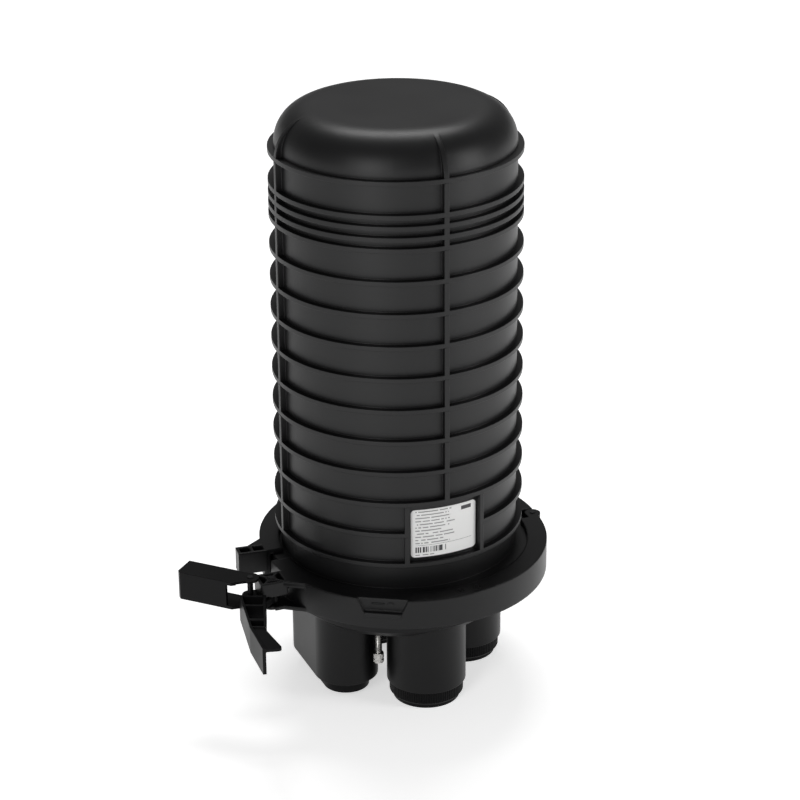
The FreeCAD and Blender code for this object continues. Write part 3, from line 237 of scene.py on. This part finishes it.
# Clamp ring
# Two glass-filled nylon halves on a steel hinge pin. Each is a channel that draws the two flanges
# together, the rear one with a pocketed lug and the front one with a webbed block for the lever.
clamp_black = moulded("clamp_black", dark=(0.0034, 0.0034, 0.0037), light=(0.0052, 0.0052, 0.0056),
                      dull=(0.34, 0.45), grain=1500.0, depth=0.00003, seed=3.0, edge=2.0, sheen=0.26)
dress(clamp_black, "clamp_rear_half", "clamp_front_half")
ring_at = (0.4245, -9.8442)
ring_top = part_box("clamp_front_half")[1][2] / MM
edge_break = 0.08


def settle(name, shape, body, material):
    """Makes a piece of a drawn shape, on its body."""
    mesh = bpy.data.meshes.new(name)
    shape.to_mesh(mesh)
    shape.free()
    mesh.materials.append(material)
    piece = bpy.data.objects.new(name, mesh)
    bpy.context.scene.collection.objects.link(piece)
    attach(piece, body)


def lathe(name, centre, profile, steps, body, material, teeth=0.0):
    """A closed ring turned round an upright axis, its outermost points raised on every other step."""
    shape = bmesh.new()
    widest = max(radius for radius, height in profile)
    rings = []
    for step in range(steps):
        turn = math.tau * step / steps
        ring = []
        for radius, height in profile:
            raised = teeth if step % 2 and radius == widest else 0.0
            reach = (radius + raised) * MM
            spot = (centre[0] + reach * math.cos(turn), centre[1] + reach * math.sin(turn), height * MM)
            ring.append(shape.verts.new(spot))
        rings.append(ring)
    for step, ring in enumerate(rings):
        following = rings[(step + 1) % steps]
        for i in range(len(profile)):
            j = (i + 1) % len(profile)
            shape.faces.new((ring[i], following[i], following[j], ring[j]))
    bmesh.ops.recalc_face_normals(shape, faces=shape.faces)
    settle(name, shape, body, material)


def plate(name, outline, low, high, body, material):
    """A flat piece with its edges broken, from an outline on the ground plane in millimetres."""
    shape = bmesh.new()
    under = [shape.verts.new((x * MM, y * MM, low * MM)) for x, y in outline]
    over = [shape.verts.new((x * MM, y * MM, high * MM)) for x, y in outline]
    shape.faces.new(under[::-1])
    shape.faces.new(over)
    for i in range(len(outline)):
        j = (i + 1) % len(outline)
        shape.faces.new((under[i], under[j], over[j], over[i]))
    bmesh.ops.recalc_face_normals(shape, faces=shape.faces)
    bmesh.ops.bevel(shape, geom=shape.edges[:], offset=edge_break * MM, segments=2, affect="EDGES")
    settle(name, shape, body, material)


def on_ring(radius, degrees):
    """A point at a radius and heading from the front half's centre, in millimetres."""
    turn = math.radians(degrees)
    return (ring_at[0] + radius * math.cos(turn), ring_at[1] + radius * math.sin(turn))


# Two moulded date rings on the front half's top, each a raised circle with a small boss and a pointer.
date_circle, date_headings = 94.2, (-88.8, -80.6)
date_rims, date_steps = ((2.2, 3.0), (0.3, 1.0)), 40
mark_root, mark_side, mark_top, mark_slope = ring_top - 0.2, ring_top + 0.2, ring_top + 0.35, 0.15
pointer_half, pointer_near, pointer_far = 0.3, 1.1, 1.9
for number, date_heading in enumerate(date_headings):
    x, y = on_ring(date_circle, date_heading)
    for part, (inner, outer) in enumerate(date_rims):
        rim = [(inner, mark_root), (outer, mark_root), (outer, mark_side), (outer - mark_slope, mark_top),
               (inner + mark_slope, mark_top), (inner, mark_side)]
        lathe(f"date_ring_{number + 1}_{part + 1}", (x * MM, y * MM), rim, date_steps,
              "clamp_front", clamp_black)
    pointer = [(x - pointer_half, y - pointer_far), (x + pointer_half, y - pointer_far),
               (x + pointer_half, y - pointer_near), (x - pointer_half, y - pointer_near)]
    plate(f"date_pointer_{number + 1}", pointer, mark_root, mark_side,
          "clamp_front", clamp_black)

# The notch's sill stands just proud of the ring. On its flat back are a short bar that the lever's tab
# snaps over and a half round stop.
notch_heading, notch_radius = math.radians(239.0), 97.6
notch_low = ring_top - 9.8
outward = Vector((math.cos(notch_heading), math.sin(notch_heading)))
sideways = Vector((-outward.y, outward.x))
notch_middle = Vector(ring_at) + outward * notch_radius


def on_notch(across, out):
    """A point on the notch's back, across it and out from it, in millimetres."""
    spot = notch_middle + sideways * across + outward * out
    return (spot.x, spot.y)


def notch_strip(left, right, near, far):
    """The four corners of a strip across the notch's back."""
    return [on_notch(left, near), on_notch(right, near), on_notch(right, far), on_notch(left, far)]


sill_half, sill_near, sill_far, sill_drop, sill_proud = 12.7, 0.6, 3.75, 3.4, 0.04
sill = notch_strip(-sill_half, sill_half, sill_near, sill_far)
plate("notch_sill", sill, notch_low - sill_drop, notch_low + sill_proud,
      "clamp_front", clamp_black)
bar_left, bar_right, bar_side, bar_crest, bar_slope = -8.0, 1.0, 0.12, 0.28, 0.4
bar_low, bar_high, rooted = notch_low + 5.0, notch_low + 6.4, -0.3
bar = [on_notch(bar_left, rooted), on_notch(bar_right, rooted), on_notch(bar_right, bar_side),
       on_notch(bar_right - bar_slope, bar_crest), on_notch(bar_left + bar_slope, bar_crest),
       on_notch(bar_left, bar_side)]
plate("notch_bar", bar, bar_low, bar_high, "clamp_front", clamp_black)
stop_across, stop_height, stop_inner, stop_outer = 5.2, notch_low + 4.8, 1.7, 2.3
stop_thick, stop_far, stop_steps = 0.7, 0.26, 8
for step in range(stop_steps):
    turn = math.radians(180.0 * step / stop_steps)
    beyond = math.radians(180.0 * (step + 1) / stop_steps)
    ends = [stop_across + stop_outer * math.cos(angle) for angle in (turn, beyond)]
    strip = notch_strip(*ends, rooted, stop_far)
    base = stop_height + stop_inner * math.sin((turn + beyond) / 2)
    plate(f"notch_stop_{step + 1}", strip[::-1], base, base + stop_thick,
          "clamp_front", clamp_black)

# Latch
# The lever and link are separate mouldings of the same nylon. The lever is a webbed box with a thumb
# tab, and the link is a channel whose closed end hooks behind the lug.
# Its tint is darker and its sheen lower than the ring's, though it is the same nylon: painted shade.
latch_shaded_black = moulded("latch_shaded_black", dark=(0.0028, 0.0028, 0.0031), light=(0.0044, 0.0044, 0.0048),
                      dull=(0.36, 0.46), grain=1500.0, depth=0.00003, seed=4.0, edge=0.8, sheen=0.12)
dress(latch_shaded_black, "latch_lever", "latch_link")

# Port nuts and the oval cap
# Turned down on the seals by hand. The nuts are fluted black nylon, and the oval cap and the pressure
# plate over its seal are held by one central bolt.
# Its tint is darker and its sheen lower than the ring's nylon: painted shade on the parts down by the
# floor.
nut_shaded_black = moulded("nut_shaded_black", dark=(0.0030, 0.0030, 0.0033), light=(0.0048, 0.0048, 0.0052),
                    dull=(0.40, 0.50), grain=1800.0, depth=0.00002, seed=5.0, edge=0.5, sheen=0.10)
dress(nut_shaded_black, "port_nut_right", "port_nut_rear", "port_nut_front", "oval_port_cap",
      "oval_pressure_plate")

# Seals and combs
# Moulded silicone rubber, duller than the plastic: the flange ring in its groove, the blocks pressed
# into the ports, and the fibre combs set in the trays.
seal_rubber = moulded("seal_rubber", dark=(0.014, 0.014, 0.015), light=(0.022, 0.022, 0.023),
                      dull=(0.55, 0.70), grain=1200.0, depth=0.00004, seed=6.0, edge=0.3, sheen=0.3)
dress(seal_rubber, "flange_seal", "port_seal_right", "port_seal_rear", "port_seal_front", "oval_port_seal",
      "splice_combs")

# Blanking plugs
# Smooth moulded plugs of a harder black plastic. They are pushed into the seals and fill their holes
# until a cable is fitted.
plug_black = moulded("plug_black", dark=(0.010, 0.010, 0.011), light=(0.016, 0.016, 0.017),
                     dull=(0.40, 0.52), grain=1600.0, depth=0.00002, seed=7.0, edge=0.4)
dress(plug_black, "port_plug_right", "port_plug_rear", "port_plug_front", "oval_port_plugs")

# Pins, bolts, screws and the frame
# Turned or headed steel, with the bent sheet frame and the small clamps. The ring's and the latch's
# three pins are blackened, and the rest is zinc plated, a little cloudy, with fine marks.


def plated(name, colour, cloudy, dull, lines, seed):
    """Plated metal: cloudy colour, uneven gloss and fine turning marks along the height."""
    metal = bpy.data.materials.new(name)
    metal.use_nodes = True
    nodes, links = metal.node_tree.nodes, metal.node_tree.links
    surface = nodes["Principled BSDF"]
    surface.inputs["Metallic"].default_value = 1.0
    place, patches = wear(nodes, links, seed)
    patches.inputs["Scale"].default_value = 120.0
    links.new(tint(nodes, links, patches.outputs["Fac"], colour, cloudy), surface.inputs["Base Color"])
    links.new(spread(nodes, links, patches.outputs["Fac"], *dull), surface.inputs["Roughness"])
    marks = nodes.new("ShaderNodeTexWave")
    marks.bands_direction = "Z"
    marks.inputs["Scale"].default_value = lines
    marks.inputs["Distortion"].default_value = 0.4
    links.new(place.outputs["Object"], marks.inputs["Vector"])
    relief = nodes.new("ShaderNodeBump")
    relief.inputs["Strength"].default_value = 0.5
    relief.inputs["Distance"].default_value = 0.00006
    links.new(marks.outputs["Fac"], relief.inputs["Height"])
    links.new(relief.outputs["Normal"], surface.inputs["Normal"])
    return metal


blackened = plated("blackened_steel", colour=(0.030, 0.030, 0.032), cloudy=(0.045, 0.045, 0.047),
                   dull=(0.34, 0.48), lines=900.0, seed=12.0)
dress(blackened, "hinge_pin", "lever_pin", "link_pin")
steel = plated("zinc_plated_steel", colour=(0.50, 0.50, 0.51), cloudy=(0.62, 0.62, 0.62),
               dull=(0.28, 0.42), lines=900.0, seed=8.0)
dress(steel, "oval_bolt", "oval_bolt_nut", "frame_screws", "tray_pins",
      "clamp_screws", "strength_clamps", "earth_stud", "earth_nuts", "organizer_frame")

# Air valve
# A nickel-plated brass valve through the base floor: a threaded stem, a hexagon collar, an inner nut
# and a small knurled cap.
valve_plate = plated("nickel_plate", colour=(0.44, 0.435, 0.42), cloudy=(0.54, 0.53, 0.51),
                     dull=(0.20, 0.32), lines=420.0, seed=9.0)
dress(valve_plate, "valve_stem", "valve_nut", "valve_cap")
cap_low, cap_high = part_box("valve_cap")
valve_at = ((cap_low[0] + cap_high[0]) / 2, (cap_low[1] + cap_high[1]) / 2)
cap_foot, cap_head = cap_low[2] / MM, cap_high[2] / MM

# The thread's turns, drawn as plain rings on the stem from above the cap to the collar.
thread_core, thread_root, thread_crest = 2.15, 2.34, 2.58
thread_start, thread_end, thread_pitch, thread_gap, thread_steps = 1.0, -2.5, 0.8, 0.05, 36
turn_at = cap_head + thread_start
thread = [(thread_core, turn_at)]
while turn_at < thread_end:
    thread += [(thread_root, turn_at + thread_gap), (thread_crest, turn_at + thread_pitch / 2),
               (thread_root, turn_at + thread_pitch - thread_gap)]
    turn_at += thread_pitch
thread.append((thread_core, turn_at))
lathe("valve_thread", valve_at, thread, thread_steps, "closure", valve_plate)

# Two knurled bands round the cap.
knurl_bands, knurl_steps, knurl_teeth = ((0.5, 2.4), (3.2, 6.7)), 56, 0.16
knurl_root, knurl_crest, knurl_slope = 3.50, 3.62, 0.15
for band, (low, high) in enumerate(knurl_bands):
    ridges = [(knurl_root, cap_foot + low), (knurl_crest, cap_foot + low + knurl_slope),
              (knurl_crest, cap_foot + high - knurl_slope), (knurl_root, cap_foot + high)]
    lathe(f"valve_knurl_{band + 1}", valve_at, ridges, knurl_steps, "cap", valve_plate,
          teeth=knurl_teeth)

# Tray ladder, trays and basket
# Thin pale grey plastic mouldings inside the dome that carry the splices and the spare fibre. The
# ladder stands against the frame, with the trays pinned between its cheeks.
tray_count = 5
tray_grey = moulded("tray_grey", dark=(0.60, 0.61, 0.62), light=(0.68, 0.69, 0.70),
                    dull=(0.42, 0.55), grain=1400.0, depth=0.00002, seed=10.0, edge=0.3, sheen=0.4)
dress(tray_grey, "tray_ladder", "loop_basket", *[f"splice_tray_{i + 1}" for i in range(tray_count)])

# Tray cover
# A clear polycarbonate sheet, thin and smooth, that snaps over the front tray and keeps the fibres in.
# It is the only piece that light goes through.
cover_clear = moulded("cover_clear", dark=(0.80, 0.84, 0.86), light=(0.86, 0.89, 0.91),
                      dull=(0.08, 0.14), grain=600.0, depth=0.00001, seed=11.0, edge=0.0, sheen=0.5)
cover_clear.node_tree.nodes["Principled BSDF"].inputs["Transmission Weight"].default_value = 0.85
dress(cover_clear, "tray_cover")

# Floor
# A plain white sweep of paper under and behind the closure. It shows the closure's soft shadow. Its glow
# is weaker close round the closure, a painted shade there, and a little stronger further off, a painted
# light where the lamps reach less.
floor_half = 30.0
floor_white = (0.90, 0.90, 0.90, 1.0)
glow_white = (1.0, 1.0, 1.0, 1.0)
painted_falloff_reach, glow_with_painted_falloff = ((0.14, 0.25), (0.9, 2.2)), ((0.56, 0.64), (0.0, 0.22))
floor_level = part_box("port_nut_front")[0][2]
sweep = bmesh.new()
bmesh.ops.create_grid(sweep, x_segments=1, y_segments=1, size=floor_half)
floor_mesh = bpy.data.meshes.new("floor")
sweep.to_mesh(floor_mesh)
sweep.free()
floor = bpy.data.objects.new("floor", floor_mesh)
floor.location = (0.0, 0.0, floor_level)
bpy.context.scene.collection.objects.link(floor)
paper = bpy.data.materials.new("white_paper")
paper.use_nodes = True
paper_nodes, paper_links = paper.node_tree.nodes, paper.node_tree.links
paper_face = paper_nodes["Principled BSDF"]
paper_face.inputs["Base Color"].default_value = floor_white
paper_face.inputs["Roughness"].default_value = 0.9
paper_face.inputs["Specular IOR Level"].default_value = 0.0
paper_face.inputs["Emission Color"].default_value = glow_white


def combine(operation, first, second):
    """Joins two values of the paper's shader into one."""
    step = paper_nodes.new("ShaderNodeMath")
    step.operation = operation
    paper_links.new(first, step.inputs[0])
    paper_links.new(second, step.inputs[1])
    return step.outputs[0]


def ramp(distance, reach, strength):
    """A glow that changes from one strength to another over a stretch of distance."""
    fade = paper_nodes.new("ShaderNodeMapRange")
    fade.inputs["From Min"].default_value, fade.inputs["From Max"].default_value = reach
    fade.inputs["To Min"].default_value, fade.inputs["To Max"].default_value = strength
    paper_links.new(distance, fade.inputs["Value"])
    return fade.outputs["Result"]


# The glow is there for the camera, through the clear cover and in mirrors, and lights nothing else.
paper_rays = paper_nodes.new("ShaderNodeLightPath")
direct = combine("MAXIMUM", paper_rays.outputs["Is Camera Ray"], paper_rays.outputs["Is Transmission Ray"])
seen = combine("MAXIMUM", direct, paper_rays.outputs["Is Glossy Ray"])
paper_place = paper_nodes.new("ShaderNodeTexCoord")
away = paper_nodes.new("ShaderNodeVectorMath")
away.operation = "LENGTH"
paper_links.new(paper_place.outputs["Object"], away.inputs[0])
# The near ramp holds the glow low close round the closure, a painted shade, and the far ramp raises it
# further off, a painted light.
near, far = (ramp(away.outputs["Value"], *pair) for pair in zip(painted_falloff_reach, glow_with_painted_falloff))
glow = combine("MULTIPLY", seen, combine("ADD", near, far))
paper_links.new(glow, paper_face.inputs["Emission Strength"])
floor_mesh.materials.append(paper)

# Light
# A dim even room, a soft lamp above and behind the closure, and two upright softboxes in front, one to
# the left and one to the right.
room = bpy.data.worlds.new("white_room")
bpy.context.scene.world = room
room.use_nodes = True
room_light = room.node_tree.nodes["Background"]
room_light.inputs["Color"].default_value = (1.0, 1.0, 1.0, 1.0)
room_light.inputs["Strength"].default_value = 0.17


def softbox(name, at, towards, wide, tall, power):
    """A rectangular lamp aimed at a point."""
    lamp = bpy.data.lights.new(name, "AREA")
    lamp.shape = "RECTANGLE"
    lamp.size = wide
    lamp.size_y = tall
    lamp.energy = power
    holder = bpy.data.objects.new(name, lamp)
    holder.location = at
    aim = Vector(towards) - Vector(at)
    holder.rotation_euler = aim.to_track_quat("-Z", "Y").to_euler()
    bpy.context.scene.collection.objects.link(holder)


softbox("top_lamp", at=(0.30, 0.76, 1.76), towards=(0.0, 0.0, 0.3), wide=1.1, tall=0.38, power=16.0)
softbox("left_lamp", at=(-1.05, -1.05, 0.60), towards=(0.0, 0.0, 0.15), wide=0.45, tall=1.0, power=7.4)
softbox("right_lamp", at=(1.10, -1.00, 0.55), towards=(0.0, 0.0, 0.15), wide=0.5, tall=1.0, power=7.2)

# Camera
# A long lens from the front left and above, as the photograph was taken. It leans a little, and it
# stands a metre and a half from the closure.
heading, pitch, lean = math.radians(22.3), math.radians(23.32), math.radians(0.402)
camera_right, camera_back, camera_height = 1.656, 1559.388, 818.79
along = Vector((math.sin(heading), math.cos(heading), 0.0))
right = Vector((math.cos(heading), -math.sin(heading), 0.0))
upright = Vector((0.0, 0.0, 1.0))
aim = along * math.cos(pitch) - upright * math.sin(pitch)
above = along * math.sin(pitch) + upright * math.cos(pitch)
side = right * math.cos(lean) - above * math.sin(lean)
rise = right * math.sin(lean) + above * math.cos(lean)
lens = bpy.data.cameras.new("camera")
lens.sensor_width = 36.0
lens.lens = 109.575
lens.clip_end = 20.0
camera = bpy.data.objects.new("camera", lens)
turned = Matrix((side, rise, -aim)).transposed().to_4x4()
stand = right * (camera_right * MM) - along * (camera_back * MM) + upright * (camera_height * MM)
camera.matrix_world = Matrix.Translation(stand) @ turned
bpy.context.scene.collection.objects.link(camera)
bpy.context.scene.camera = camera
bpy.context.scene.view_settings.view_transform = "Standard"
